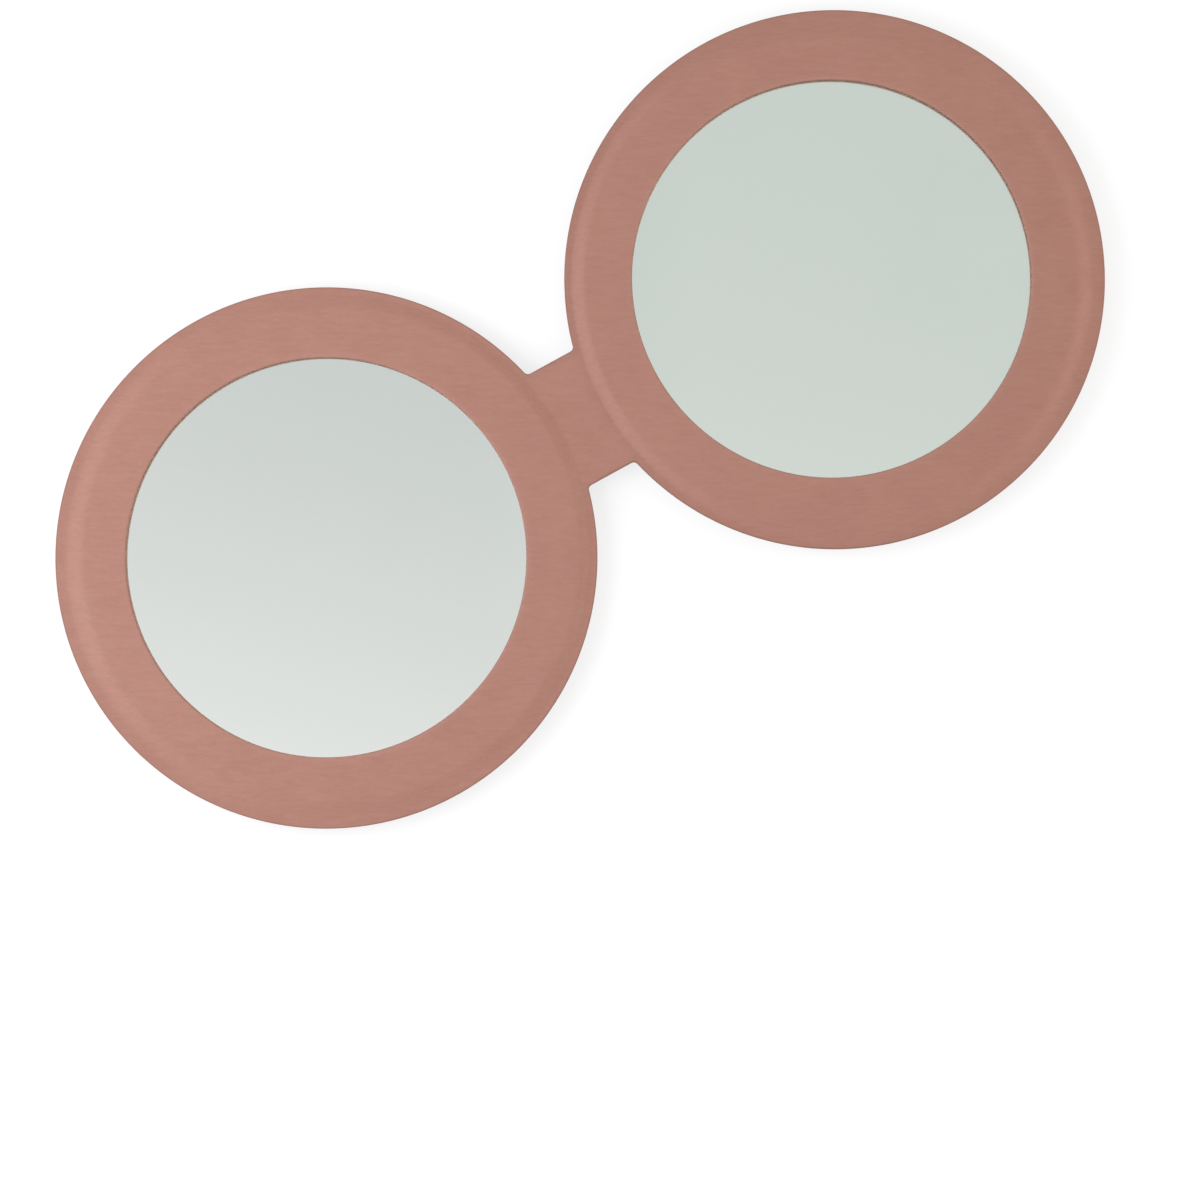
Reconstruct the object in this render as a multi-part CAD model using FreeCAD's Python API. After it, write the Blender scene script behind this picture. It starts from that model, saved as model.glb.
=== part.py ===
import FreeCAD, Part
import math
import os

# A round leatherette compact mirror, lying open on its backs with both mirrors up.
# Millimetres, +Z up. X runs through both disc centres, the base at -X and the lid at +X.
# The origin is under the middle of the strap, on the surface that the compact lies on.

Vector = FreeCAD.Vector
up = Vector(0, 0, 1)

# Mirrors
mirror_diameter = 50.0
mirror_lip = 1.4  # width of leatherette that laps over the edge of the glass
mirror_clearance = 0.2  # between the glass and the ring board round it
glass_thickness = 1.0
silver_thickness = 0.1  # silver coat with its protective paint
tape_thickness = 0.2
tape_inset = 2.0  # from the edge of the glass to the edge of the tape

# Skins, boards and padding
skin = 0.6  # thickness of the leatherette
foam_thickness = 0.5
board_thickness = 1.0
board_clearance = 0.23  # from a board's edge to where the skin over it starts to bend

# Magnets in the ring board, beside the free end of the rim
magnet_diameter = 2.5
magnet_clearance = 0.05
magnet_wall = 0.35  # board left on each side of a pocket
magnet_floor = 0.3  # board left under a pocket
magnet_spread = 40.0  # degrees between the two magnets of a half

# Pressed edge of a disc
front_bevel_width = 2.1
back_bevel_width = 1.8
flange_width = 0.8  # outer band where the front and back skins are bonded
front_bend = 1.4  # inside radius of the bends in the front skin
back_bend = 0.6  # inside radius of the bends in the back skin
rim_round = 0.25  # softened edge of the mirror opening

# Strap
strap_width = 15.0
fold_drop = 1.4  # from the rim's top down to the bond between the two skins
closing_gap = 0.24  # between the two rims when the compact is shut
fold_clearance = 0.05  # between a disc's tab and the rounded end of the strap
tab_length = 0.1  # how far a tab stands past its disc's edge on the centre line

# Heights, from the resting surface upwards
foam_z = skin
back_board_z = foam_z + foam_thickness
tape_z = back_board_z + board_thickness
silver_z = tape_z + tape_thickness
glass_z = silver_z + silver_thickness
lining_z = glass_z + glass_thickness
rim_z = lining_z + skin
bond_z = rim_z - fold_drop
ring_thickness = lining_z - tape_z
magnet_thickness = ring_thickness - magnet_floor

# Radii, from the mirror outwards
mirror_radius = mirror_diameter / 2
opening_radius = mirror_radius - mirror_lip
tape_radius = mirror_radius - tape_inset
ring_inner = mirror_radius + mirror_clearance
board_radius = ring_inner + magnet_diameter + 2 * (magnet_clearance + magnet_wall)
front_slope = math.atan2(fold_drop - skin, front_bevel_width)
front_ridge = board_radius + board_clearance + (skin + front_bend) * math.tan(front_slope / 2)
valley_radius = front_ridge + front_bevel_width
disc_radius = valley_radius + flange_width
back_slope = math.atan2(bond_z - skin, back_bevel_width)
back_ridge = valley_radius - back_bevel_width
foam_radius = back_ridge - (skin + back_bend) * math.tan(back_slope / 2) - board_clearance

# Places along X: a fold line on each side of the middle, then a tab's end, then a disc's centre
fold_offset = fold_drop + closing_gap / 2
tab_end = fold_offset + skin + fold_clearance
disc_offset = tab_end + tab_length + disc_radius
base_centre = Vector(-disc_offset, 0, 0)


def rounded_face(corners):
    """Face in the XZ plane from (x, z, radius) corners, each turned on an arc of its radius."""
    points = [Vector(x, 0, z) for x, z, radius in corners]
    stops = []
    for i, (x, z, radius) in enumerate(corners):
        back = (points[i - 1] - points[i]).normalize()
        ahead = (points[(i + 1) % len(points)] - points[i]).normalize()
        half_angle = back.getAngle(ahead) / 2
        reach = radius / math.tan(half_angle)
        middle = points[i] + (back + ahead).normalize() * (radius / math.sin(half_angle) - radius)
        stops.append((points[i] + back * reach, middle, points[i] + ahead * reach, radius))
    edges = []
    for i, (start, middle, end, radius) in enumerate(stops):
        if radius > 0:
            edges.append(Part.Arc(start, middle, end).toShape())
        edges.append(Part.LineSegment(end, stops[(i + 1) % len(stops)][0]).toShape())
    return Part.Face(Part.Wire(edges))


def pressed_skin(start, ridge, panel_z, flange_z, inward, bend, edge_round):
    """Skin of one disc: a flat panel from radius start, a sloping edge and a flat flange."""
    slope = math.atan2(abs(panel_z - flange_z), valley_radius - ridge)
    shift = skin * math.tan(slope / 2)
    depth = inward * skin
    section = rounded_face([
        (start, panel_z, edge_round),
        (ridge, panel_z, bend + skin),
        (valley_radius, flange_z, bend),
        (disc_radius, flange_z, 0),
        (disc_radius, flange_z + depth, 0),
        (valley_radius - shift, flange_z + depth, bend + skin),
        (ridge - shift, panel_z + depth, bend),
        (start, panel_z + depth, 0),
    ])
    return section.revolve(Vector(), up, 360).translated(base_centre)


def strap_tab(low_z):
    """Strip of skin from the base's flange to its fold line, with its underside at low_z."""
    corner = base_centre + Vector(0, -strap_width / 2, low_z)
    strip = Part.makeBox(disc_offset - tab_end, strap_width, skin, corner)
    root = Part.makeCylinder(valley_radius + flange_width / 2, skin, base_centre + up * low_z)
    return strip.cut(root)


def front_cover():
    """Rim skin round the mirror, with its half of the tab."""
    rim = pressed_skin(opening_radius, front_ridge, rim_z, bond_z + skin, -1, front_bend, rim_round)
    return rim.fuse(strap_tab(bond_z)).removeSplitter()


def back_cover():
    """Outer skin, a shallow dish, with its half of the tab."""
    dish = pressed_skin(0, back_ridge, 0, bond_z - skin, 1, back_bend, 0)
    return dish.fuse(strap_tab(bond_z - skin)).removeSplitter()


def layer(radius, low_z, thickness):
    """Round layer centred on the base disc."""
    return Part.makeCylinder(radius, thickness, base_centre + up * low_z)


def magnet_cylinders(radius):
    """Upright cylinders at the places of the base's magnets, flush with the ring board's top."""
    spot_radius = (ring_inner + board_radius) / 2
    low_z = lining_z - magnet_thickness
    cylinders = []
    for side in (-1, 1):
        angle = math.pi + side * math.radians(magnet_spread) / 2
        spot = Vector(spot_radius * math.cos(angle), spot_radius * math.sin(angle), low_z)
        cylinders.append(Part.makeCylinder(radius, magnet_thickness, base_centre + spot))
    return cylinders


def ring_board():
    """Ring that surrounds the mirror and stiffens the rim, with the magnets' pockets."""
    ring = layer(board_radius, tape_z, ring_thickness).cut(layer(ring_inner, tape_z, ring_thickness))
    return ring.cut(Part.makeCompound(magnet_cylinders(magnet_diameter / 2 + magnet_clearance)))


def strap_skin(side):
    """One skin of the strap, above (1) or below (-1) the bond, rounded about both fold lines."""
    face_z = bond_z + side * skin
    half_chord = skin * math.sqrt(0.5)
    edges = []
    for end in (-1, 1):
        tip = Vector(end * (fold_offset + skin), 0, bond_z)
        middle = Vector(end * (fold_offset + half_chord), 0, bond_z + side * half_chord)
        shoulder = Vector(end * fold_offset, 0, face_z)
        edges.append(Part.Arc(tip, middle, shoulder).toShape())
    shoulders = [Vector(end * fold_offset, 0, face_z) for end in (-1, 1)]
    tips = [Vector(end * (fold_offset + skin), 0, bond_z) for end in (-1, 1)]
    edges.append(Part.LineSegment(*shoulders).toShape())
    edges.append(Part.LineSegment(*tips).toShape())
    section = Part.Face(Part.Wire(Part.__sortEdges__(edges)))
    across = Vector(0, strap_width, 0)
    return section.translated(across * -0.5).extrude(across)


half_pieces = {
    "back_cover": back_cover(),
    "foam_pad": layer(foam_radius, foam_z, foam_thickness),
    "back_board": layer(board_radius, back_board_z, board_thickness),
    "mirror_tape": layer(tape_radius, tape_z, tape_thickness),
    "mirror_silver": layer(mirror_radius, silver_z, silver_thickness),
    "mirror_glass": layer(mirror_radius, glass_z, glass_thickness),
    "ring_board": ring_board(),
    "magnets": Part.makeCompound(magnet_cylinders(magnet_diameter / 2)),
    "front_cover": front_cover(),
}
pieces = {
    "strap_outer": strap_skin(-1),
    "strap_lining": strap_skin(1),
}
for half, turn in (("base", 0), ("lid", 180)):
    for name, shape in half_pieces.items():
        pieces[f"{half}_{name}"] = shape.rotated(Vector(), up, turn)

os.makedirs("parts", exist_ok=True)
for name, shape in pieces.items():
    shape.exportStep(f"parts/{name}.step")
    print(f"{name}: {len(shape.Solids)} solid(s), {shape.Volume:.1f} mm3, valid {shape.isValid()}")

print(f"disc {2 * disc_radius:.2f} across, centres {2 * disc_offset:.2f} apart, half {rim_z:.2f} thick")
print(f"folds at x = +/-{fold_offset:.3f}, z = {bond_z:.3f}; opening {2 * opening_radius:.2f} across")
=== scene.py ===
# %% [markdown]
# # A round leatherette compact, lying open
# The imported model holds twenty solids in metres: two discs of stacked layers and a strap of two skins
# that joins them. Everything below is laid on that frame, so no piece has to be fitted by eye. The
# frame is loaded first.

import bpy
import numpy as np
from mathutils import Matrix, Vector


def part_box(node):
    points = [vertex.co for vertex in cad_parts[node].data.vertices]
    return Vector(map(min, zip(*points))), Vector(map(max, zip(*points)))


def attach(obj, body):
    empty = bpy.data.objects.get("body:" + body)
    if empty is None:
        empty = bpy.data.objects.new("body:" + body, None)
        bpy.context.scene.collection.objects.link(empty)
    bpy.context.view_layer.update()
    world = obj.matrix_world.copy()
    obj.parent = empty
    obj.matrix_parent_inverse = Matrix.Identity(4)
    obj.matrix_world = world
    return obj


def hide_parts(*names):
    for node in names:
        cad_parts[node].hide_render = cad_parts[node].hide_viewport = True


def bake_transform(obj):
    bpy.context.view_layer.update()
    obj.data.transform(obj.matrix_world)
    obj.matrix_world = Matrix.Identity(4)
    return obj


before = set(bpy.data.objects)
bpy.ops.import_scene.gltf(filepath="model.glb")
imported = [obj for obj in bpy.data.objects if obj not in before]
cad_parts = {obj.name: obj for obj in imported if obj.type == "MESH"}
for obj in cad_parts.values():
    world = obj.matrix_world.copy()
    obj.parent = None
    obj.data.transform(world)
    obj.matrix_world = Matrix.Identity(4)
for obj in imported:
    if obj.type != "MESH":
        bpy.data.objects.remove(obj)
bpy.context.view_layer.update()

mm = 0.001


# %% [markdown]
# ## Sizes
# A real compact is cut, pressed and glued to a few sizes: the disc, the mirror, the strap and the
# thickness of the leatherette. They could be typed in again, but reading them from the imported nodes
# keeps the dressed model true to the solids if those change.

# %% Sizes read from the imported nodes
def corners(node):
    """Lowest and highest corner of a CAD node, as arrays in metres."""
    low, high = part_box(node)
    return np.array(low), np.array(high)


rim_low, rim_high = corners("base_front_cover")
glass_low, glass_high = corners("base_mirror_glass")
lining_low, lining_high = corners("strap_lining")

disc_radius = (rim_high[1] - rim_low[1]) / 2
mirror_radius = (glass_high[1] - glass_low[1]) / 2
strap_half = lining_high[1]
disc_x = (glass_low[0] + glass_high[0]) / 2
rim_z = rim_high[2]
glass_top = glass_high[2]
bond_z = lining_low[2]
skin = lining_high[2] - lining_low[2]
print(f"disc {2 * disc_radius / mm:.1f} mm across, centre at x = {disc_x / mm:.2f} mm")

# %% [markdown]
# ## The camera
# The compact is seen almost straight from above, with the strap running up to the right. Two measures
# fix such a view: how many millimetres one pixel covers, and which point of the table lies exactly
# under the lens, because that decides on which side a mirror's lip hides a sliver of the glass. A
# camera could be pushed about until it fits, but axes built from those measures stay exact.

# %% Camera over the table
image_width = 1200
pixel = 0.1180 * mm
strap_turn = np.radians(28.79)
eye_height = 0.62
aim_pixels = (19.2, -182.5)
foot_pixels = (8.0, -402.0)

picture_right = np.array([np.cos(strap_turn), -np.sin(strap_turn), 0])
picture_up = np.array([np.sin(strap_turn), np.cos(strap_turn), 0])


def unit(vector):
    """Vector with the same heading and a length of one."""
    return vector / np.linalg.norm(vector)


def above_table(pixels, z):
    """Point at height z, so many pixels right of and above the middle of the strap in the picture."""
    right, up = pixels
    return pixel * (right * picture_right + up * picture_up) + np.array([0, 0, z])


def stand(thing, axes, spot):
    """Put a camera or a lamp at a spot with its x, y and z axes along three directions."""
    thing.matrix_world = Matrix([*np.column_stack([*axes, spot]).tolist(), [0, 0, 0, 1]])
    bpy.context.scene.collection.objects.link(thing)


aim = above_table(aim_pixels, bond_z + skin)
eye = above_table(foot_pixels, eye_height)
eye_distance = np.linalg.norm(eye - aim)
back = unit(eye - aim)
side = unit(np.cross(picture_up, back))

lens_data = bpy.data.cameras.new("camera")
lens_data.lens = lens_data.sensor_width * eye_distance / (image_width * pixel)
camera = bpy.data.objects.new("camera", lens_data)
stand(camera, (side, np.cross(back, side), back), eye)
bpy.context.scene.camera = camera
bpy.context.scene.view_settings.view_transform = "Standard"
print(f"lens {lens_data.lens:.0f} mm, {eye_distance:.3f} m from the point it aims at")

# %% [markdown]
# ## Nodes with less typing
# Every finish below is a tree of shader nodes. One helper adds a node, sets its properties, and then
# fills each input with either a value or a link, so that a tree reads like a short list of steps.
# Colours are written as three numbers, and get their alpha where they go into a socket.

# %% Helpers for node trees
def place(tree, kind, inputs=(), **settings):
    """Add a node, set its properties, then give each named input its value or its link."""
    node = tree.nodes.new("ShaderNode" + kind)
    for name, value in settings.items():
        setattr(node, name, value)
    for key, value in dict(inputs).items():
        if isinstance(value, bpy.types.NodeSocket):
            tree.links.new(value, node.inputs[key])
        else:
            node.inputs[key].default_value = value
    return node


def math_step(tree, operation, *values):
    """Output of one Math node."""
    return place(tree, "Math", enumerate(values), operation=operation).outputs[0]


def remap(tree, value, from_range, to_range=(0.0, 1.0)):
    """Value carried from one range to another, held at both ends."""
    low, high = from_range
    to_low, to_high = to_range
    node = place(tree, "MapRange", {"Value": value, 1: low, 2: high, 3: to_low, 4: to_high})
    return node.outputs["Result"]


def opaque(value):
    """Colour of three numbers with its alpha of 1; anything else stays as it is."""
    return (*value, 1) if isinstance(value, tuple) else value


def mix_colours(tree, factor, first, second, blend="MIX"):
    """First colour where the factor is 0, second where it is 1; with ADD the second is added on."""
    inputs = {0: factor, 6: opaque(first), 7: opaque(second)}
    return place(tree, "Mix", inputs, data_type="RGBA", blend_type=blend).outputs[2]


print("a colour for a socket:", opaque((0.5, 0.25, 0.125)))

# %% Helpers for materials
def spaced(inputs):
    """Inputs under their names in Blender, which have spaces where keywords have underscores."""
    return {name.replace("_", " "): opaque(value) for name, value in inputs.items()}


def new_finish(name, **constants):
    """Material with one Principled BSDF whose constant inputs are set on its own sockets."""
    material = bpy.data.materials.new(name)
    material.use_nodes = True
    tree = material.node_tree
    tree.nodes.clear()
    shader = place(tree, "BsdfPrincipled", spaced(constants))
    place(tree, "OutputMaterial", {"Surface": shader.outputs[0]})
    return material, tree, shader


def feed(tree, shader, **links):
    """Link values that a tree works out to the shader's inputs."""
    for name, value in spaced(links).items():
        tree.links.new(value, shader.inputs[name])


print("names of inputs:", list(spaced({"Base_Color": 0, "Emission_Strength": 0})))

# %% [markdown]
# ## White paper
# The picture is lit as for a catalogue, and the compact lies on white paper. Paper bright enough to
# show as pure white would throw too much light back at the skins. So this paper is a middling grey to
# the light, and only rays that look at it, straight on, in a mirror or through glass, find it lifted to
# white. It still takes a faint shadow.

# %% White paper
paper_half = 1.5
paper_gap = 0.05 * mm
paper_grey = 0.32
paper_lift = 0.735


def white_paper():
    """Matt grey paper with a glow for camera, glossy and transmission rays, and for no others."""
    material, tree, shader = new_finish(
        "white_paper", Base_Color=(paper_grey,) * 3, Roughness=0.9, Emission_Color=(1, 1, 1))
    path = place(tree, "LightPath").outputs
    seen = math_step(tree, "ADD", path["Is Camera Ray"], path["Is Glossy Ray"])
    seen = math_step(tree, "ADD", seen, path["Is Transmission Ray"])
    lift = math_step(tree, "MULTIPLY", math_step(tree, "MINIMUM", seen, 1.0), paper_lift)
    feed(tree, shader, Emission_Strength=lift)
    return material


paper_mesh = bpy.data.meshes.new("paper")
paper_corners = np.array([(-1, -1), (1, -1), (1, 1), (-1, 1)]) * paper_half
paper_mesh.from_pydata([(x, y, -paper_gap) for x, y in paper_corners], [], [(0, 1, 2, 3)])
paper_mesh.materials.append(white_paper())
paper = bpy.data.objects.new("paper", paper_mesh)
bpy.context.scene.collection.objects.link(paper)
print(f"paper {2 * paper_half} m across, {paper_gap / mm} mm under the backs")

# %% [markdown]
# ## The sky that the mirrors show
# Mirrors that lie face up show only what hangs above them. A photographed room could be wrapped round
# the scene, but a sky worked out from the heading of a ray is easier to read and to steer. It is even
# all round. Overhead it turns into a ceiling of two tones, one for each mirror, with a soft bright band
# on the near side.

# %% Sky with a ceiling overhead
sky_light = (0.654, 0.655, 0.653)
left_ceiling = (0.599, 0.603, 0.621)
right_ceiling = (0.647, 0.666, 0.658)
band_light = (0.476, 0.406, 0.408)
band_turn = np.radians(255)
band_lean = 0.10
band_spread = 0.13
seam_reach = 0.02
ceiling_rise = (0.95, 0.985)


def lean_towards(tree, heading, direction):
    """How far rays lean towards a direction: the dot product of the two."""
    return place(tree, "VectorMath", {0: heading, 1: direction}, operation="DOT_PRODUCT").outputs["Value"]


def bright_band(tree, heading):
    """Bell exp(-((s - m) / w)^2) across the ceiling, where s is the lean towards the band's side."""
    band_side = np.cos(band_turn) * picture_right + np.sin(band_turn) * picture_up
    offset = math_step(tree, "SUBTRACT", lean_towards(tree, heading, band_side), band_lean)
    offset = math_step(tree, "DIVIDE", offset, band_spread)
    square = math_step(tree, "MULTIPLY", offset, offset)
    return math_step(tree, "EXPONENT", math_step(tree, "MULTIPLY", square, -1.0))


def pale_sky():
    """Even sky that gives way to the ceiling near the zenith, and is white to the camera itself."""
    world = bpy.data.worlds.new("pale_sky")
    world.use_nodes = True
    tree = world.node_tree
    tree.nodes.clear()
    heading = place(tree, "TexCoord").outputs["Generated"]
    to_right = remap(tree, lean_towards(tree, heading, picture_right), (-seam_reach, seam_reach))
    ceiling = mix_colours(tree, to_right, left_ceiling, right_ceiling)
    band = mix_colours(tree, bright_band(tree, heading), (0, 0, 0), band_light)
    ceiling = mix_colours(tree, 1.0, ceiling, band, "ADD")
    overhead = remap(tree, lean_towards(tree, heading, (0, 0, 1)), ceiling_rise)
    colour = mix_colours(tree, overhead, sky_light, ceiling)
    colour = mix_colours(tree, place(tree, "LightPath").outputs["Is Camera Ray"], colour, (1, 1, 1))
    sky = place(tree, "Background", {"Color": colour, "Strength": 1.0})
    place(tree, "OutputWorld", {"Surface": sky.outputs[0]})
    return world


bpy.context.scene.world = pale_sky()
print(f"sky {sky_light}, ceiling {left_ceiling} and {right_ceiling}")

# %% [markdown]
# ## Two lamps
# The sky alone would leave the pressed slopes flat. A broad lamp on the left, close by, gives them their
# soft light and shade, and makes the near disc the brighter one. A small lamp that skims the table from
# the right keeps the slopes that face it from going dull. Sunlight would be simpler to set, but its
# shadows are hard and it doesn't fade along the compact.

# %% Broad lamp on the left, small fill on the right
def area_lamp(name, target, turn, rise, distance, size, energy, colour):
    """Square lamp that faces a target, so many metres away at a turn from +X and a rise in degrees."""
    turn, rise = np.radians([turn, rise])
    heading = np.array([np.cos(turn) * np.cos(rise), np.sin(turn) * np.cos(rise), np.sin(rise)])
    aside = unit(np.cross([0, 0, 1], heading))
    spot = np.array(target) + heading * distance
    data = bpy.data.lights.new(name, "AREA")
    data.size = size
    data.energy = energy
    data.color = colour
    stand(bpy.data.objects.new(name, data), (aside, np.cross(heading, aside), heading), spot)
    print(name, "at", np.round(spot, 3), "m")


area_lamp("broad_lamp", target=(-1.75 * disc_x, 0, 0), turn=165, rise=38.5, distance=0.26,
          size=0.16, energy=0.24, colour=(0.97, 1.0, 1.14))
area_lamp("small_fill", target=(-0.5 * disc_x, 0, 0), turn=332, rise=13, distance=0.30,
          size=0.10, energy=0.23, colour=(1.0, 0.99, 0.96))

# %% [markdown]
# ## The grain of leatherette
# The covers are a matt, embossed leatherette: a warm rose tan with very fine creases that run one way,
# small pebbles between them, and a slow drift of tone. A picture of leather would repeat and smear, so
# the grain is worked out from the place on the skin. It is shared by several finishes, so it is a node
# group. It reads each skin's own flat position, which stays put when the strap bends.

# %% Helpers for node groups and patterns
noise_middle = (0.3, 0.7)


def new_group(name, **inputs):
    """Node group with inputs of the kinds given, and the sockets that bring their values in."""
    group = bpy.data.node_groups.new(name, "ShaderNodeTree")
    for label, kind in spaced(inputs).items():
        group.interface.new_socket(label, in_out="INPUT", socket_type="NodeSocket" + kind)
    return group, group.nodes.new("NodeGroupInput").outputs


def close_group(group, **results):
    """The same node group with one output for each result."""
    for label in results:
        group.interface.new_socket(label, in_out="OUTPUT", socket_type="NodeSocketFloat")
    way_out = group.nodes.new("NodeGroupOutput")
    for label, value in results.items():
        group.links.new(value, way_out.inputs[label])
    print(f"node group {group.name} gives {list(results)}")
    return group


def grouped(tree, group, **inputs):
    """Outputs of a node group that is given these inputs."""
    return place(tree, "Group", spaced(inputs), node_tree=group).outputs


def noise(tree, spot, per_metre, **inputs):
    """Soft noise with so many lumps per metre, from 0 to 1 but mostly in its middle range."""
    return place(tree, "TexNoise", {"Vector": spot, "Scale": per_metre, **inputs}).outputs["Fac"]


def stretched(tree, spot, factors):
    """Position times one factor per axis; a pattern is drawn out where the factor is small."""
    return place(tree, "VectorMath", {0: spot, 1: factors}, operation="MULTIPLY").outputs[0]


print("node groups so far:", len(bpy.data.node_groups))

# %% Grain as a node group
crease_stretch = (0.22, 1.0, 1.0)
creases_per_metre = 2400.0
pebbles_per_metre = 2300.0
drifts_per_metre = 170.0
crease_rise = 1.2
pebble_dip = 0.5
crease_tone = 0.8
drift_tone = 0.5


def leather_grain_group():
    """Height and tone of the grain, from noise stretched along a heading, smooth cells and slow noise.

    Height is the creases times their rise, less the pebbles times their dip. Tone is one half, plus
    creases and drift, each taken from its middle value and times its share of the tone.
    """
    group, given = new_group("leather_grain", Position="Vector", Heading="Float")
    flat = given["Position"]
    turned = place(group, "VectorRotate", {"Vector": flat, "Angle": given["Heading"]},
                   rotation_type="Z_AXIS").outputs[0]
    crease = noise(group, stretched(group, turned, crease_stretch), creases_per_metre,
                   Detail=3.0, Roughness=0.55, Distortion=0.6)
    pebble = place(group, "TexVoronoi", {"Vector": flat, "Scale": pebbles_per_metre, "Smoothness": 0.6},
                   feature="SMOOTH_F1").outputs["Distance"]
    drift = noise(group, flat, drifts_per_metre, Detail=2.0, Roughness=0.6)
    height = math_step(group, "MULTIPLY", crease, crease_rise)
    height = math_step(group, "MULTIPLY_ADD", pebble, -pebble_dip, height)
    tone = math_step(group, "MULTIPLY_ADD", crease, crease_tone, 0.5 - (crease_tone + drift_tone) / 2)
    tone = math_step(group, "MULTIPLY_ADD", drift, drift_tone, tone)
    return close_group(group, Height=height, Tone=tone)


leather_grain = leather_grain_group()

# %% Patchy edges as a node group
patches_per_metre = 900.0
patch_strength = (0.55, 1.0)


def edge_finish_group():
    """Mask of burnished edges and of wear with a painted highlight: the edge's own mask, broken up by
    noise, times an amount.
    """
    group, given = new_group("edge_finish", Position="Vector", Edge="Float", Amount="Float")
    patch = noise(group, given["Position"], patches_per_metre, Detail=3.0)
    mask = math_step(group, "MULTIPLY", given["Edge"], remap(group, patch, noise_middle, patch_strength))
    return close_group(group, Mask=math_step(group, "MULTIPLY", mask, given["Amount"]))


edge_finish = edge_finish_group()

# %% [markdown]
# ## Two leatherettes
# The lining is a shade paler than the outer skin, and its creases lie along another heading. On both,
# the middle of each slope is painted paler as a sheen, the margin stays darker, cut edges are stained
# brown, the lip round the mirror is painted pale, partly as rubbed wear and partly as a highlight, and
# the pale backing shows on the bonded face. The skins store a mask for each of these places. Separate
# meshes could carry separate colours, but one finish that mixes tints by masks keeps every passage soft.

# %% Lining and outer leatherette
tone_range = (0.25, 0.75)
height_range, roughness_range = (0.1, 0.7), (0.66, 0.52)
# The middle of each slope gets a paler tan, a painted sheen.
slope_sheen_tan, slope_sheen_share = (0.58, 0.30, 0.23), 0.2
margin_tan, margin_share = (0.30, 0.13, 0.09), 0.12
# The lip's pale tan is partly rubbed wear and partly a painted highlight.
rub_and_highlight_tan, rub_and_highlight_share = (0.62, 0.36, 0.29), 0.22
cut_brown, cut_share = (0.215, 0.092, 0.066), 0.85
stain_share = 0.5
backing_tan = (0.92, 0.54, 0.43)


def stored(tree, name, output="Fac"):
    """Number, or vector, that a skin's mesh stores for each of its points under a name."""
    return place(tree, "Attribute", attribute_name=name).outputs[output]


def share_of(tree, name, share):
    """Stored mask times a share."""
    return math_step(tree, "MULTIPLY", stored(tree, name), share)


def edge_wear_and_highlight(tree, edge, amount):
    """Patchy mask for stained edges and for wear with a painted highlight."""
    flat = stored(tree, "rest", "Vector")
    return grouped(tree, edge_finish, Position=flat, Edge=edge, Amount=amount)["Mask"]


def bumped(tree, height, strength, depth):
    """Normals of a surface that rises by the depth where the height is 1."""
    return place(tree, "Bump", {"Height": height, "Strength": strength, "Distance": depth}).outputs[0]


def leatherette(name, heading, dark_tan, light_tan, grain_depth):
    """Matt skin: its tone drifts between two tans, and tints are laid over it by their masks."""
    material, tree, shader = new_finish(
        name, Specular_IOR_Level=0.3, Sheen_Weight=0.04, Sheen_Roughness=0.5)
    grain = grouped(tree, leather_grain, Position=stored(tree, "rest", "Vector"), Heading=heading)
    dark_edge = math_step(tree, "MAXIMUM", stored(tree, "cut"), share_of(tree, "stained", stain_share))
    tints = (
        # painted sheen along the middle of the slopes
        (share_of(tree, "slope_sheen", slope_sheen_share), slope_sheen_tan),
        (share_of(tree, "margin", margin_share), margin_tan),
        # rubbed wear and a painted highlight on the lip
        (edge_wear_and_highlight(tree, stored(tree, "rub_and_highlight"), rub_and_highlight_share), rub_and_highlight_tan),
        (edge_wear_and_highlight(tree, dark_edge, cut_share), cut_brown),
        (stored(tree, "backing"), backing_tan),
    )
    colour = mix_colours(tree, remap(tree, grain["Tone"], tone_range), dark_tan, light_tan)
    for mask, tint in tints:
        colour = mix_colours(tree, mask, colour, tint)
    feed(tree, shader, Base_Color=colour,
         Roughness=remap(tree, grain["Height"], height_range, roughness_range),
         Normal=bumped(tree, grain["Height"], strength=1.0, depth=grain_depth))
    return material


lining_leatherette = leatherette(
    "lining_leatherette", heading=strap_turn, grain_depth=0.052 * mm,
    dark_tan=(0.412, 0.195, 0.144), light_tan=(0.457, 0.226, 0.168))
outer_leatherette = leatherette(
    "outer_leatherette", heading=0.0, grain_depth=0.062 * mm,
    dark_tan=(0.370, 0.164, 0.117), light_tan=(0.424, 0.198, 0.144))
print("leatherettes:", lining_leatherette.name, outer_leatherette.name)

# %% [markdown]
# ## From arrays to a mesh
# Each new piece is a grid of points: rows run along its section and columns run round it. Primitives and
# modifiers could make most of these shapes, but a grid follows its formula exactly. One function turns
# such a grid into faces. It closes the columns into rings, and it either joins the last row to the
# first, as on a tube, or closes both ends with a point. If the faces come out facing inwards, the
# enclosed volume is negative, and every face is turned over.

# %% Faces of a grid of points
def grid_quads(rows, columns, wrap):
    """Corner numbers of the quads between neighbouring rows, the columns joined into rings."""
    row, column = np.meshgrid(np.arange(rows if wrap else rows - 1), np.arange(columns), indexing="ij")
    next_row = (row + 1) % rows
    next_column = (column + 1) % columns
    quads = np.stack([
        row * columns + column,
        row * columns + next_column,
        next_row * columns + next_column,
        next_row * columns + column,
    ], -1)
    return quads.reshape(-1, 4)


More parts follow.
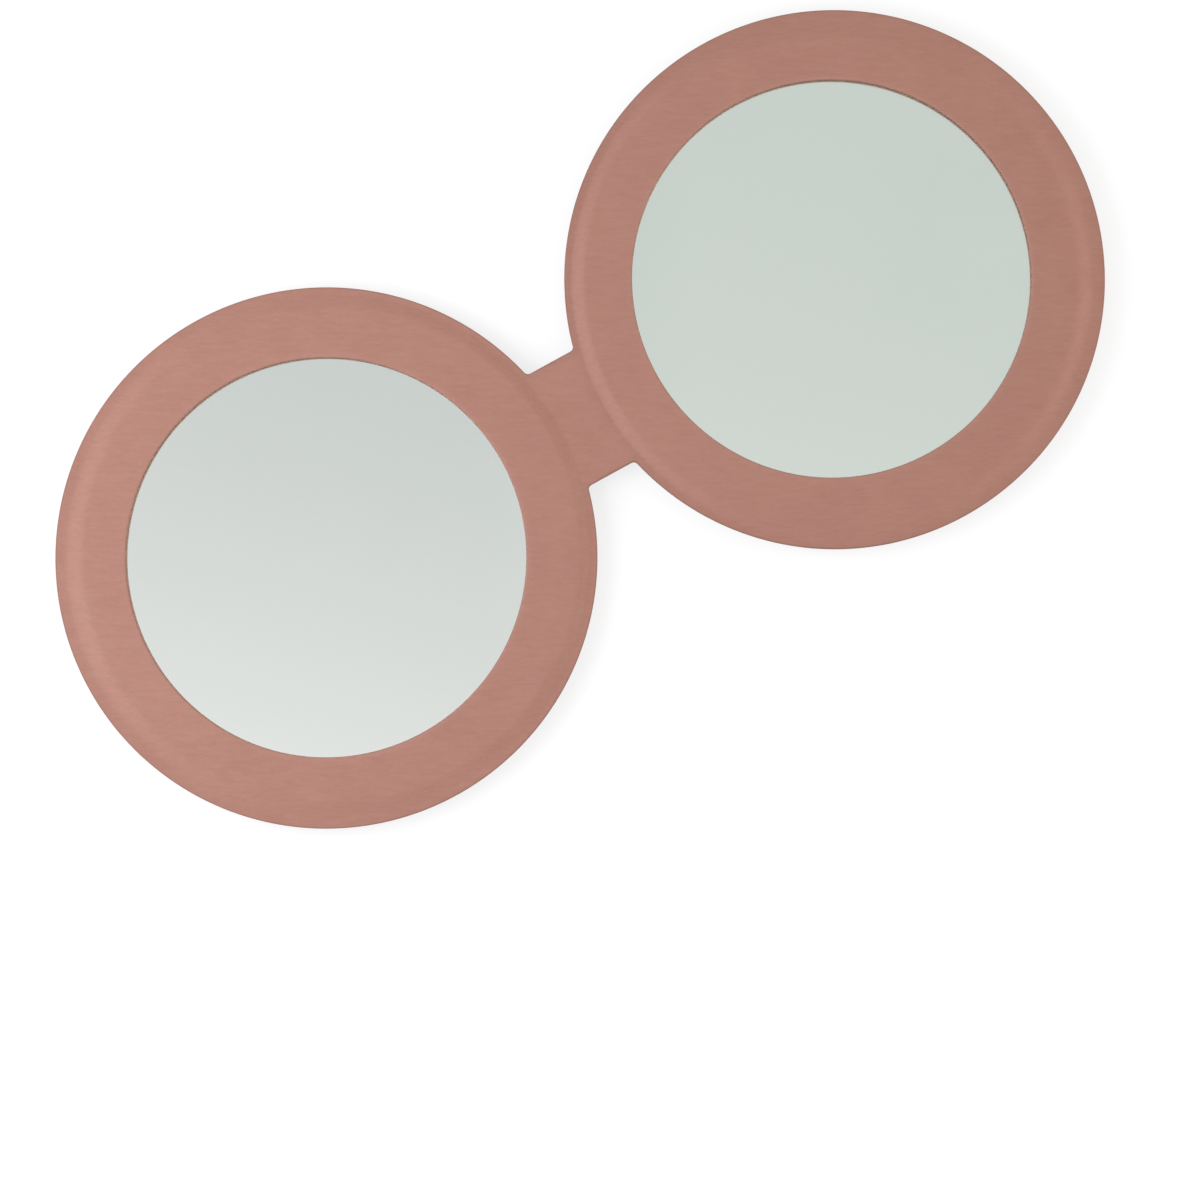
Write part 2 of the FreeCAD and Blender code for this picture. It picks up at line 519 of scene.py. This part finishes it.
def closed_grid(rows, wrap):
    """Points and faces of a grid of rows: wrapped into a ring, or closed by a point at either end."""
    count, columns = rows.shape[:2]
    points = rows.reshape(-1, 3)
    faces = [grid_quads(count, columns, wrap)]
    if not wrap:
        ends = np.stack([rows[0].mean(0), rows[-1].mean(0)])
        ring = np.arange(columns)
        after = (ring + 1) % columns
        last = (count - 1) * columns
        first_pole = np.full(columns, len(points))
        faces.append(np.stack([first_pole, after, ring], -1))
        faces.append(np.stack([first_pole + 1, last + ring, last + after], -1))
        points = np.concatenate([points, ends])
    return points, faces


print("a ring of 3 rows and 4 columns has", len(grid_quads(3, 4, True)), "quads")

# %% Objects from points and faces
smooth_limit = np.radians(35)


def enclosed_volume(points, faces):
    """Volume inside closed faces: the sum of the signed tetrahedra from the origin."""
    total = 0.0
    for step in range(1, faces.shape[1] - 1):
        a, b, c = (points[faces[:, k]] for k in (0, step, step + 1))
        total += np.einsum("ij,ij->i", a, np.cross(b, c)).sum() / 6
    return total


def add_piece(name, points, faces, material):
    """Object at the origin from points and lists of faces, all facing outwards and shaded smooth."""
    if sum(enclosed_volume(points, part) for part in faces) < 0:
        faces = [part[:, ::-1] for part in faces]
    mesh = bpy.data.meshes.new(name)
    mesh.from_pydata(points.tolist(), [], [face for part in faces for face in part.tolist()])
    mesh.validate()
    mesh.shade_smooth()
    mesh.set_sharp_from_angle(angle=smooth_limit)
    mesh.materials.append(material)
    piece = bpy.data.objects.new(name, mesh)
    bpy.context.scene.collection.objects.link(piece)
    print(f"{name}: {len(mesh.vertices)} points, {len(mesh.polygons)} faces")
    return piece


def mark(piece, name, values):
    """Store one number per point, or one vector per point, on the piece's mesh."""
    kind, field = ("FLOAT_VECTOR", "vector") if values.ndim == 2 else ("FLOAT", "value")
    layer = piece.data.attributes.new(name, kind, "POINT")
    layer.data.foreach_set(field, values.astype(np.float32).ravel())


print(f"edges up to {np.degrees(smooth_limit):.0f} degrees are shaded smooth")

# %% [markdown]
# ## The outline of a skin
# A cover is one sheet of leatherette: a disc with a tongue that runs into the strap. Its outline is
# described by how deep a point lies inside it, which is the larger of its depth in the disc and in the
# strap. A smooth maximum rounds the inner corners where the two meet. Every ray from the disc's centre
# leaves this outline once, so the whole skin is a grid of rays and rows, and the strap bends without a
# seam. A disc and a strap joined by a boolean would leave a ragged mesh just where it has to bend.

# %% Outline of one half
corner_round = 0.5 * mm
strap_length = abs(disc_x)
strap_end = np.arctan2(strap_half, strap_length)
root_margin = np.radians(0.9)
strap_root = np.arcsin(strap_half / disc_radius) + root_margin
end_rays = 25
root_rays = 22
rim_rays = 172
halvings = 48

half_turn = np.concatenate([
    np.arctan2(np.linspace(0, strap_half, end_rays), strap_length),
    np.linspace(strap_end, strap_root, root_rays)[1:],
    np.linspace(strap_root, np.pi, rim_rays)[1:],
])
rays = np.concatenate([half_turn, -half_turn[-2:0:-1]])


def depth_inside(radius):
    """Depth of the points at these radii along the rays: the smooth maximum of two depths."""
    across = np.abs(radius * np.sin(rays))
    in_disc = disc_radius - radius
    in_strap = np.where(np.cos(rays) > 0, strap_half - across, -disc_radius)
    near = np.maximum(corner_round - np.abs(in_disc - in_strap), 0)
    return np.maximum(in_disc, in_strap) + near**2 / (4 * corner_round)


def outline(inset, end_inset=0.0):
    """Radius along each ray where the depth is the inset, halving the range until it is found."""
    inset = np.asarray(inset, float)
    shape = np.broadcast_shapes(inset.shape, rays.shape)
    low = np.full(shape, disc_radius / 2)
    high = np.full(shape, disc_radius * 2)
    for _ in range(halvings):
        middle = (low + high) / 2
        deeper = depth_inside(middle) > inset
        low = np.where(deeper, middle, low)
        high = np.where(deeper, high, middle)
    ahead = np.maximum(np.cos(rays), 1e-6)
    return np.minimum(low, (strap_length - np.asarray(end_inset)) / ahead)


print(f"{len(rays)} rays; outline from {outline(0.0).min() / mm:.2f} to {outline(0.0).max() / mm:.2f} mm")

# %% [markdown]
# ## The section of a skin
# The press leaves each skin level in the middle and lets its edge fall in a soft S to a thin bonded
# flange. On the front the slope isn't quite round: beside the strap it lies further out. Both skins are
# walked in the same way, out along the face that shows, over the rounded cut edge, and back along the
# bonded face, so the sheet has real thickness everywhere. A thickness added by a modifier would pinch
# at the edge.

# %% Heights across a skin
def lopsided(mean, swing):
    """Radius along each ray, from two sizes in mm: mean + swing * cos(ray), longest at the strap."""
    return (mean + swing * np.cos(rays)) * mm


front_press = {
    "base": (lopsided(29.10, 0.75), lopsided(31.25, 0.40)),
    "lid": (lopsided(28.925, 0.575), lopsided(31.075, 0.225)),
}
back_press = (29.35 * mm, 30.95 * mm)


def eased(t):
    """Smooth step: 0 up to 0, 1 from 1, and 3 t^2 - 2 t^3 between."""
    t = np.clip(t, 0, 1)
    return t * t * (3 - 2 * t)


def slope_share(radius, press):
    """Share of the way across a slope of the press: 0 up to its shoulder and 1 from its flange."""
    shoulder, flange = press
    return np.clip((radius - shoulder) / (flange - shoulder), 0, 1)


def front_level(radius, press):
    """Top of the front skin: level over the ring board, then a soft S down to the flange."""
    return rim_z - (rim_z - bond_z - skin) * eased(slope_share(radius, press))


def back_level(radius, press):
    """Underside of the back skin: level, then a steeper S up to the flange."""
    return (bond_z - skin) * eased(slope_share(radius, press))


front_fall = rim_z - front_level(disc_radius, front_press["base"]).min()
back_rise = back_level(disc_radius, back_press)
print(f"front falls {front_fall / mm:.2f} mm, back rises {back_rise / mm:.2f} mm")

# %% Rows along a sheet
edge_round = 0.13 * mm
bond_round = 0.07 * mm
flange_rows = 28
edge_rows = 4
bonded_rows = (10, 12, 8)
round_rows = 5
quarter = np.linspace(0, np.pi / 2, round_rows + 1)[1:, None]


def round_off(depth, radius):
    """How far a quarter-round edge has dropped at this depth inside the outline."""
    short = radius - np.clip(depth, 0, radius)
    return radius - np.sqrt(radius**2 - short**2)


def rows_between(start, stop, count):
    """Rows of values from start to stop, without start itself."""
    share = np.linspace(0, 1, count + 1)[1:, None]
    return start + (stop - start) * share * np.ones_like(rays)


def sheet_rows(level, press, up, start, stop, shown_rows):
    """Radius and height of rows that go out along the shown face from start, and back inside to stop.

    The bonded face lies one skin under the shown face where up is 1, and over it where up is -1. Both
    are rounded off towards the outline, and a few rows join them down the cut edge.
    """
    shoulder, flange = press
    insets = edge_round * (1 - np.sin(quarter))
    shown = np.concatenate([
        rows_between(start, shoulder, shown_rows[0]),
        rows_between(shoulder, flange, shown_rows[1]),
        rows_between(flange, outline(edge_round, edge_round), flange_rows),
        outline(insets, insets),
    ])
    bonded = np.concatenate([
        outline(0.0)[None],
        outline(bond_round * (1 - np.cos(quarter))),
        rows_between(outline(bond_round), flange, bonded_rows[0]),
        rows_between(flange, shoulder, bonded_rows[1]),
        rows_between(shoulder, stop, bonded_rows[2])[:-1],
    ])
    shown_height = level(shown, press) - up * round_off(depth_inside(shown), edge_round)
    bonded_height = level(bonded, press) - up * (skin - round_off(depth_inside(bonded), bond_round))
    edge_height = rows_between(shown_height[-1], bonded_height[0], edge_rows)[:-1]
    radius = np.concatenate([shown, np.broadcast_to(shown[-1], edge_height.shape), bonded])
    return radius, np.concatenate([shown_height, edge_height, bonded_height])


print(f"cut edge rounded by {edge_round / mm:.2f} mm outside and {bond_round / mm:.2f} mm inside")

# %% [markdown]
# ## Front and back skins
# Seen from above the front skin is almost the whole compact: a flat rim, a soft slope and the strap, with
# a lip round the mirror that is rounded above and below, as a folded edge is. The lid's opening was cut
# a little off centre. The back skin is a plain shallow dish. The lid's skins are the base's, turned half
# round the middle of the strap.

# %% Rows of the two skins
lip_round = 0.3 * mm
mirror_lip = 1.4 * mm
nose_round = skin - lip_round
opening_radius = mirror_radius - mirror_lip
front_shown_rows = (10, 22)
back_shown_rows = (14, 20)
nose_rows = 8


def front_rows(press):
    """Rows of the front skin: round the lip from the glass up, then along the sheet and back."""
    nose = np.linspace(0, np.pi / 2, nose_rows)[:, None]
    lip_radius = opening_radius + np.concatenate([
        nose_round * (1 - np.sin(nose)),
        lip_round * (1 - np.cos(quarter)),
    ])
    lip_height = np.concatenate([
        glass_top + nose_round * (1 - np.cos(nose)),
        rim_z - lip_round * (1 - np.sin(quarter)),
    ])
    radius, height = sheet_rows(
        front_level, press, 1, opening_radius + lip_round, opening_radius + nose_round, front_shown_rows)
    level = np.ones_like(rays)
    return np.concatenate([lip_radius * level, radius]), np.concatenate([lip_height * level, height])


def back_rows(press):
    """Rows of the back skin, from its outer middle to its inner middle."""
    return sheet_rows(back_level, press, -1, 0.0, 0.0, back_shown_rows)


print(f"openings {2 * opening_radius / mm:.1f} mm across, lips rounded by {lip_round / mm:.2f} mm")

# %% Skins as pieces
halves = {"base": 1, "lid": -1}
opening_shift = {"base": (0.0, 0.0, 0.0), "lid": (-0.33 * mm, 0.18 * mm, 0.0)}
# How far the lip's rubbed wear and painted highlight reach from the opening.
rub_and_highlight_reach = 0.45 * mm
margin_reach = 1.3 * mm
stain_reach = 0.25 * mm
backing_start = 0.45
backing_blend = 0.2
backing_inset = 0.4 * mm
cut_range = (0.1, 0.9)


def skin_points(radius, height, turn):
    """Points of a skin about its disc's centre; the lid's skin is turned half round the middle."""
    x = disc_x + radius * np.cos(rays)
    y = radius * np.sin(rays)
    return np.stack([turn * x, turn * y, height], -1)


def lip_shift(radius, half):
    """Sideways shift of the mirror opening, fading out over the level part of the rim."""
    shoulder = front_press[half][0]
    share = 1 - eased((radius - opening_radius) / (shoulder - opening_radius))
    return share[..., None] * np.array(opening_shift[half])


def skin_masks(radius, sunk, share, front):
    """Masks of a skin's places, from the depth inside its outline and how far points are sunk in it."""
    depth = depth_inside(radius)
    return {
        "cut": 1.0 * ((sunk > cut_range[0]) & (sunk < cut_range[1]) & (depth < edge_round)),
        # pale lip: partly rubbed wear, partly a painted highlight
        "rub_and_highlight": (1 - eased((radius - opening_radius) / rub_and_highlight_reach)) * front,
        # painted sheen, strongest half-way down each slope
        "slope_sheen": (4 * share * (1 - share)) ** 2,
        "margin": 1 - eased(depth / margin_reach),
        "stained": 1 - eased(depth / stain_reach),
        "backing": eased((sunk - backing_start) / backing_blend) * (depth > backing_inset),
    }


def skin_piece(half, face, material):
    """Skin with its flat position and the masks of its edges, slope and margin stored on the mesh."""
    front = face == "front"
    press = front_press[half] if front else back_press
    rows, level = (front_rows, front_level) if front else (back_rows, back_level)
    radius, height = rows(press)
    points = skin_points(radius, height, halves[half])
    if front:
        points = points + lip_shift(radius, half)
    points, faces = closed_grid(points, front)
    piece = add_piece(f"{half}_{face}_skin", points, faces, material)
    mark(piece, "rest", points)
    sunk = np.abs(height - level(radius, press)) / skin
    for name, values in skin_masks(radius, sunk, slope_share(radius, press), front).items():
        mark(piece, name, np.append(values.ravel(), np.zeros(len(points) - values.size)))
    return piece


base_front = skin_piece("base", "front", lining_leatherette)
lid_front = skin_piece("lid", "front", lining_leatherette)
base_back = skin_piece("base", "back", outer_leatherette)
lid_back = skin_piece("lid", "back", outer_leatherette)

# %% [markdown]
# ## Skins over the cut solids
# A real strap is limp and bends over a short length at each disc's edge, so the skins must not be cut
# there. Bones and weights could be painted by hand. Here each skin's placement is baked into its points,
# and the cut solids that it covers are hidden.

for piece in (base_front, base_back):
    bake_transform(piece)
for piece in (lid_front, lid_back):
    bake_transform(piece)

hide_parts("base_front_cover", "strap_lining")
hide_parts("base_back_cover", "strap_outer")
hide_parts("lid_front_cover")
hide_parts("lid_back_cover")

# %% [markdown]
# ## The mirrors
# Each mirror is a round of clear glass with silver on its back, so a thin dark line shows where one
# looks through the glass under the lip. A single shiny disc would lose that line. The glass is turned
# from its section with ground edges. It reaches a few thousandths of a millimetre into the silver and
# the lip, because a film of air there would shine as a second mirror. The silver keeps its own solid
# with a metal finish. Faint handling marks are shared by everything shiny, as a node group.

# %% Handling marks as a node group
fine_marks = 9.0
smear_range = (0.5, 0.75)


def handling_marks_group():
    """Mask of faint smears: broad noise cut to its upper part, crossed by finer noise."""
    group, given = new_group("handling_marks", Position="Vector", Marks_Per_Metre="Float")
    spot, per_metre = given["Position"], given["Marks Per Metre"]
    broad = noise(group, spot, per_metre, Detail=2.0, Distortion=0.8)
    fine = noise(group, spot, math_step(group, "MULTIPLY", per_metre, fine_marks), Detail=3.0)
    return close_group(group, Mask=math_step(group, "MULTIPLY", remap(group, broad, smear_range), fine))


handling_marks = handling_marks_group()


def object_place(tree):
    """Position on a piece in its own coordinates, which are the frame's."""
    return place(tree, "TexCoord").outputs["Object"]


def marks_on(tree, per_metre):
    """Mask of the handling marks on a piece."""
    return grouped(tree, handling_marks, Position=object_place(tree), Marks_Per_Metre=per_metre)["Mask"]


# %% Glass and silver
def mirror_glass():
    """Clear glass with the green cast of thick float glass, and marks that only blur it a little."""
    material, tree, shader = new_finish(
        "mirror_glass", Base_Color=(0.968, 0.986, 0.974), IOR=1.5, Transmission_Weight=1.0)
    marks = marks_on(tree, per_metre=60.0)
    feed(tree, shader, Roughness=remap(tree, marks, (0.0, 1.0), (0.0, 0.03)))
    return material


def marked_metal(name, marks_per_metre, roughness, bright, dull):
    """Metal whose colour and roughness go from a bright to a dull value where it is marked."""
    material, tree, shader = new_finish(name, Metallic=1.0)
    marks = marks_on(tree, marks_per_metre)
    feed(tree, shader, Base_Color=mix_colours(tree, marks, bright, dull),
         Roughness=remap(tree, marks, (0.0, 1.0), roughness))
    return material


def finish_solid(node, material):
    """Give a CAD node one finish."""
    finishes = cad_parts[node].data.materials
    finishes.clear()
    finishes.append(material)


clear_glass = mirror_glass()
silver_coat = marked_metal(
    "mirror_silver", marks_per_metre=35.0, roughness=(0.01, 0.03),
    bright=(0.893, 0.945, 0.899), dull=(0.873, 0.925, 0.882))
for half in halves:
    finish_solid(half + "_mirror_silver", silver_coat)
print("mirror finishes:", clear_glass.name, silver_coat.name)

# %% Glass turned from its section
turned_columns = 192
first_ring = 0.1
face_rows = 8
contact = 0.006 * mm
ground_edge = 0.15 * mm


def turned_piece(name, radius, height, centre_x, material):
    """Section of radii and heights carried round an upright axis, closed by a point at both ends."""
    angle = np.linspace(0, 2 * np.pi, turned_columns, endpoint=False)
    rows = np.stack([
        centre_x + radius[:, None] * np.cos(angle),
        radius[:, None] * np.sin(angle),
        height[:, None] * np.ones_like(angle),
    ], -1)
    points, faces = closed_grid(rows, False)
    return add_piece(name, points, faces, material)


glass_floor = glass_low[2] - contact
glass_roof = glass_high[2] + contact
face_radius = np.linspace(first_ring, 1, face_rows) * (mirror_radius - ground_edge)
glass_radius = np.concatenate([face_radius, [mirror_radius, mirror_radius], face_radius[::-1]])
glass_height = np.concatenate([
    np.full(face_rows, glass_floor),
    [glass_floor + ground_edge, glass_roof - ground_edge],
    np.full(face_rows, glass_roof),
])
for half, turn in halves.items():
    glass = turned_piece(half + "_glass", glass_radius, glass_height, turn * disc_x, clear_glass)
    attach(glass, half)
    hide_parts(half + "_mirror_glass")

# %% [markdown]
# ## What is inside
# Under the skins lie two greyboards, the tape that holds the mirror, a thin sheet of foam that softens
# the back, and small magnets. None of it shows while the compact is whole, but the parts are real and
# are used on their own too, so the boards show their grey fibres, the tape its satin face and the
# magnets their plating. One grey for all of them would be quicker, and would say nothing.

# %% Finishes of the inner pieces
def greyboard():
    """Pulped board: grey-brown, with short pale and dark fibres."""
    material, tree, shader = new_finish("pulp_board", Roughness=0.92, Specular_IOR_Level=0.2)
    spot = stretched(tree, object_place(tree), factors=(0.35, 1.0, 1.0))
    fibres = noise(tree, spot, per_metre=3200.0, Detail=4.0, Distortion=1.2)
    colour = mix_colours(tree, remap(tree, fibres, noise_middle), (0.27, 0.25, 0.22), (0.46, 0.43, 0.38))
    feed(tree, shader, Base_Color=colour, Normal=bumped(tree, fibres, strength=0.8, depth=0.03 * mm))
    return material


def cells_on(tree, per_metre):
    """Distance from the middle of the nearest of so many cells per metre."""
    cells = place(tree, "TexVoronoi", {"Vector": object_place(tree), "Scale": per_metre})
    return cells.outputs["Distance"]


def mounting_tape():
    """Double-sided tape: off-white and satin, with small trapped bubbles."""
    material, tree, shader = new_finish("mounting_tape", Specular_IOR_Level=0.4)
    bubbles = cells_on(tree, per_metre=700.0)
    trapped = remap(tree, bubbles, from_range=(0.08, 0.16), to_range=(1.0, 0.0))
    feed(tree, shader, Base_Color=mix_colours(tree, trapped, (0.86, 0.85, 0.81), (0.74, 0.73, 0.70)),
         Roughness=remap(tree, trapped, (0.0, 1.0), (0.35, 0.55)))
    return material


board_finish = greyboard()
tape_finish = mounting_tape()
nickel_plate = marked_metal(
    "nickel_plate", marks_per_metre=900.0, roughness=(0.22, 0.42),
    bright=(0.72, 0.70, 0.66), dull=(0.62, 0.60, 0.56))
inner_finishes = {
    "back_board": board_finish,
    "ring_board": board_finish,
    "mirror_tape": tape_finish,
    "magnets": nickel_plate,
}
for half in halves:
    for name, material in inner_finishes.items():
        finish_solid(f"{half}_{name}", material)
print("inner finishes:", sorted({material.name for material in inner_finishes.values()}))

# %% [markdown]
# ## Foam pads
# The foam is a soft sheet that the press has rounded at its rim. A sheet of cloth could be simulated, but
# it lies flat between skin and board, so a turned section is enough: its half thickness at radius r is
# t (1 - (r / R)^40)^(1/2), which is full almost to the rim and then rounds off.

# %% Foam pads with eased edges
foam_low, foam_high = corners("base_foam_pad")
foam_play = 0.01 * mm
foam_fullness = 40
foam_rim = 0.1
level_rows = 9
rim_rows = 12


def soft_foam():
    """Open foam: pale, with fine cells that dent the surface."""
    material, tree, shader = new_finish("soft_foam", Roughness=0.95, Specular_IOR_Level=0.15)
    cells = cells_on(tree, per_metre=2600.0)
    colour = mix_colours(tree, remap(tree, cells, (0.1, 0.7)), (0.70, 0.68, 0.64), (0.86, 0.84, 0.80))
    feed(tree, shader, Base_Color=colour, Normal=bumped(tree, cells, strength=1.0, depth=0.06 * mm))
    return material


level_share = np.linspace(first_ring, 1 - foam_rim, level_rows)
rim_share = 1 - foam_rim * np.cos(np.linspace(0, np.pi / 2, rim_rows)[1:])
foam_share = np.concatenate([level_share, rim_share])
foam_half = (foam_high[2] - foam_low[2]) / 2 - foam_play
foam_swell = foam_half * np.sqrt(1 - foam_share**foam_fullness)
foam_radius = np.append(foam_share, foam_share[-2::-1]) * (foam_high[1] - foam_low[1]) / 2
foam_height = (foam_low[2] + foam_high[2]) / 2 + np.append(-foam_swell, foam_swell[-2::-1])
foam_finish = soft_foam()
for half, turn in halves.items():
    pad = turned_piece(half + "_foam", foam_radius, foam_height, turn * disc_x, foam_finish)
    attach(pad, half)
    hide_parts(half + "_foam_pad")

# %% [markdown]
# ## The engraved back
# A laser takes the top off the leatherette and leaves a paler, dry line. Here it draws a plain wreath
# of leaves with a rosette in its middle. Lines could be painted by a texture, but thin ribbons of real
# geometry stay sharp at any size: each is a path with a width that changes along it, drawn as a low
# strip that stands a hundredth of a millimetre proud of the back.

# %% Strokes as ribbons
line_proud = 0.010 * mm
line_sunk = 0.05 * mm


def ribbon(path, half_width, closed):
    """Boxes along many paths at once: left and right of the path, proud of and sunk in the back."""
    strokes, count = half_width.shape
    before = np.roll(path, 1, 1) if closed else np.concatenate([path[:, :1], path[:, :-1]], 1)
    after = np.roll(path, -1, 1) if closed else np.concatenate([path[:, 1:], path[:, -1:]], 1)
    along = (after - before) / np.linalg.norm(after - before, axis=-1, keepdims=True)
    aside = np.stack([-along[..., 1], along[..., 0]], -1) * half_width[..., None]
    left, right = path + aside, path - aside
    level = np.ones((strokes, count, 1))
    section = np.stack([
        np.concatenate([left, level * -line_proud], -1),
        np.concatenate([right, level * -line_proud], -1),
        np.concatenate([right, level * line_sunk], -1),
        np.concatenate([left, level * line_sunk], -1),
    ], 2)
    sides = section.shape[2]
    stroke = np.arange(strokes)[:, None, None] * count * sides
    step = np.arange(count if closed else count - 1)[None, :, None]
    corner = np.arange(sides)
    next_corner = (corner + 1) % sides
    here, there = stroke + step * sides, stroke + (step + 1) % count * sides
    quads = np.stack([here + corner, here + next_corner, there + next_corner, there + corner], -1)
    faces = [quads.reshape(-1, 4)]
    if not closed:
        first = stroke[:, 0] + corner[::-1]
        last = stroke[:, 0] + (count - 1) * sides + corner
        faces += [first, last]
    return section.reshape(-1, 3), np.concatenate(faces)


print(f"lines {line_proud / mm:.3f} mm proud of the back and {line_sunk / mm:.2f} mm sunk in it")

# %% Leaves, petals and rings
leaf_steps = 13
leaf_bend = 0.5
leaf_fullness = 0.8
leaf_tip = 0.03 * mm
leaf_lean = 0.75
petal_lean = 0.01 - np.pi / 2
inner_lag = 0.12
wreath_radius = 12.6 * mm
leaf_pairs = 26
petal_count = 8
ring_steps = 160


def leaves(angle, radius, lean, length, width):
    """Slightly bent strokes that start on a circle and lean off it, with a width of w sin(pi s)^f."""
    share = np.linspace(0, 1, leaf_steps)
    heading = (angle + np.pi / 2 + lean)[:, None] - leaf_bend * np.sign(lean) * (share - 0.5)
    start = radius * np.stack([np.cos(angle), np.sin(angle)], -1)
    steps = np.stack([np.cos(heading), np.sin(heading)], -1) * length / (leaf_steps - 1)
    path = start[:, None] + np.cumsum(steps, 1) - steps[:, :1]
    swell = np.maximum(np.sin(np.pi * share) ** leaf_fullness * width / 2, leaf_tip)
    return path, np.broadcast_to(swell, path.shape[:2]), False


def rings(radius, half_width):
    """Round strokes of given radii and half widths about the disc's centre."""
    angle = np.linspace(0, 2 * np.pi, ring_steps, endpoint=False)
    path = np.array(radius)[:, None, None] * np.stack([np.cos(angle), np.sin(angle)], -1)
    return path, np.broadcast_to(np.array(half_width)[:, None], path.shape[:2]), True


pairs = np.linspace(0, 2 * np.pi, leaf_pairs, endpoint=False)
petals = np.linspace(0, 2 * np.pi, petal_count, endpoint=False)
between_petals = petals + np.pi / petal_count
strokes = [
    leaves(pairs, wreath_radius, -leaf_lean, length=3.4 * mm, width=1.15 * mm),
    leaves(pairs + inner_lag, wreath_radius, leaf_lean, length=3.2 * mm, width=1.05 * mm),
    leaves(petals, 2.1 * mm, petal_lean, length=5.2 * mm, width=1.7 * mm),
    leaves(between_petals, 3.2 * mm, petal_lean, length=3.2 * mm, width=0.8 * mm),
    rings((16.2 * mm, wreath_radius, 8.9 * mm, 1.5 * mm), (0.13 * mm, 0.09 * mm, 0.13 * mm, 0.11 * mm)),
]
print(f"{sum(len(stroke[0]) for stroke in strokes)} strokes in the engraving")

# %% Wreath and rosette
def engraved_line():
    """Leatherette with its top burnt off: pale, dry and a little patchy."""
    material, tree, shader = new_finish("engraved_line", Roughness=0.85, Specular_IOR_Level=0.2)
    patch = noise(tree, object_place(tree), per_metre=2500.0, Detail=3.0)
    colour = mix_colours(tree, remap(tree, patch, noise_middle), (0.70, 0.46, 0.38), (0.86, 0.64, 0.55))
    feed(tree, shader, Base_Color=colour, Normal=bumped(tree, patch, strength=0.6, depth=0.02 * mm))
    return material


line_points, line_faces, count = [], [], 0
for stroke in strokes:
    points, faces = ribbon(*stroke)
    line_points.append(points)
    line_faces.append(faces + count)
    count += len(points)
line_points = np.concatenate(line_points) + np.array([-disc_x, 0, 0])
engraving = add_piece("lid_engraving", line_points, line_faces, engraved_line())
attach(engraving, "lid")

# %% [markdown]
# ## Finish
# The view layer is brought up to date once every piece is in place.

# %% Finish
bpy.context.view_layer.update()
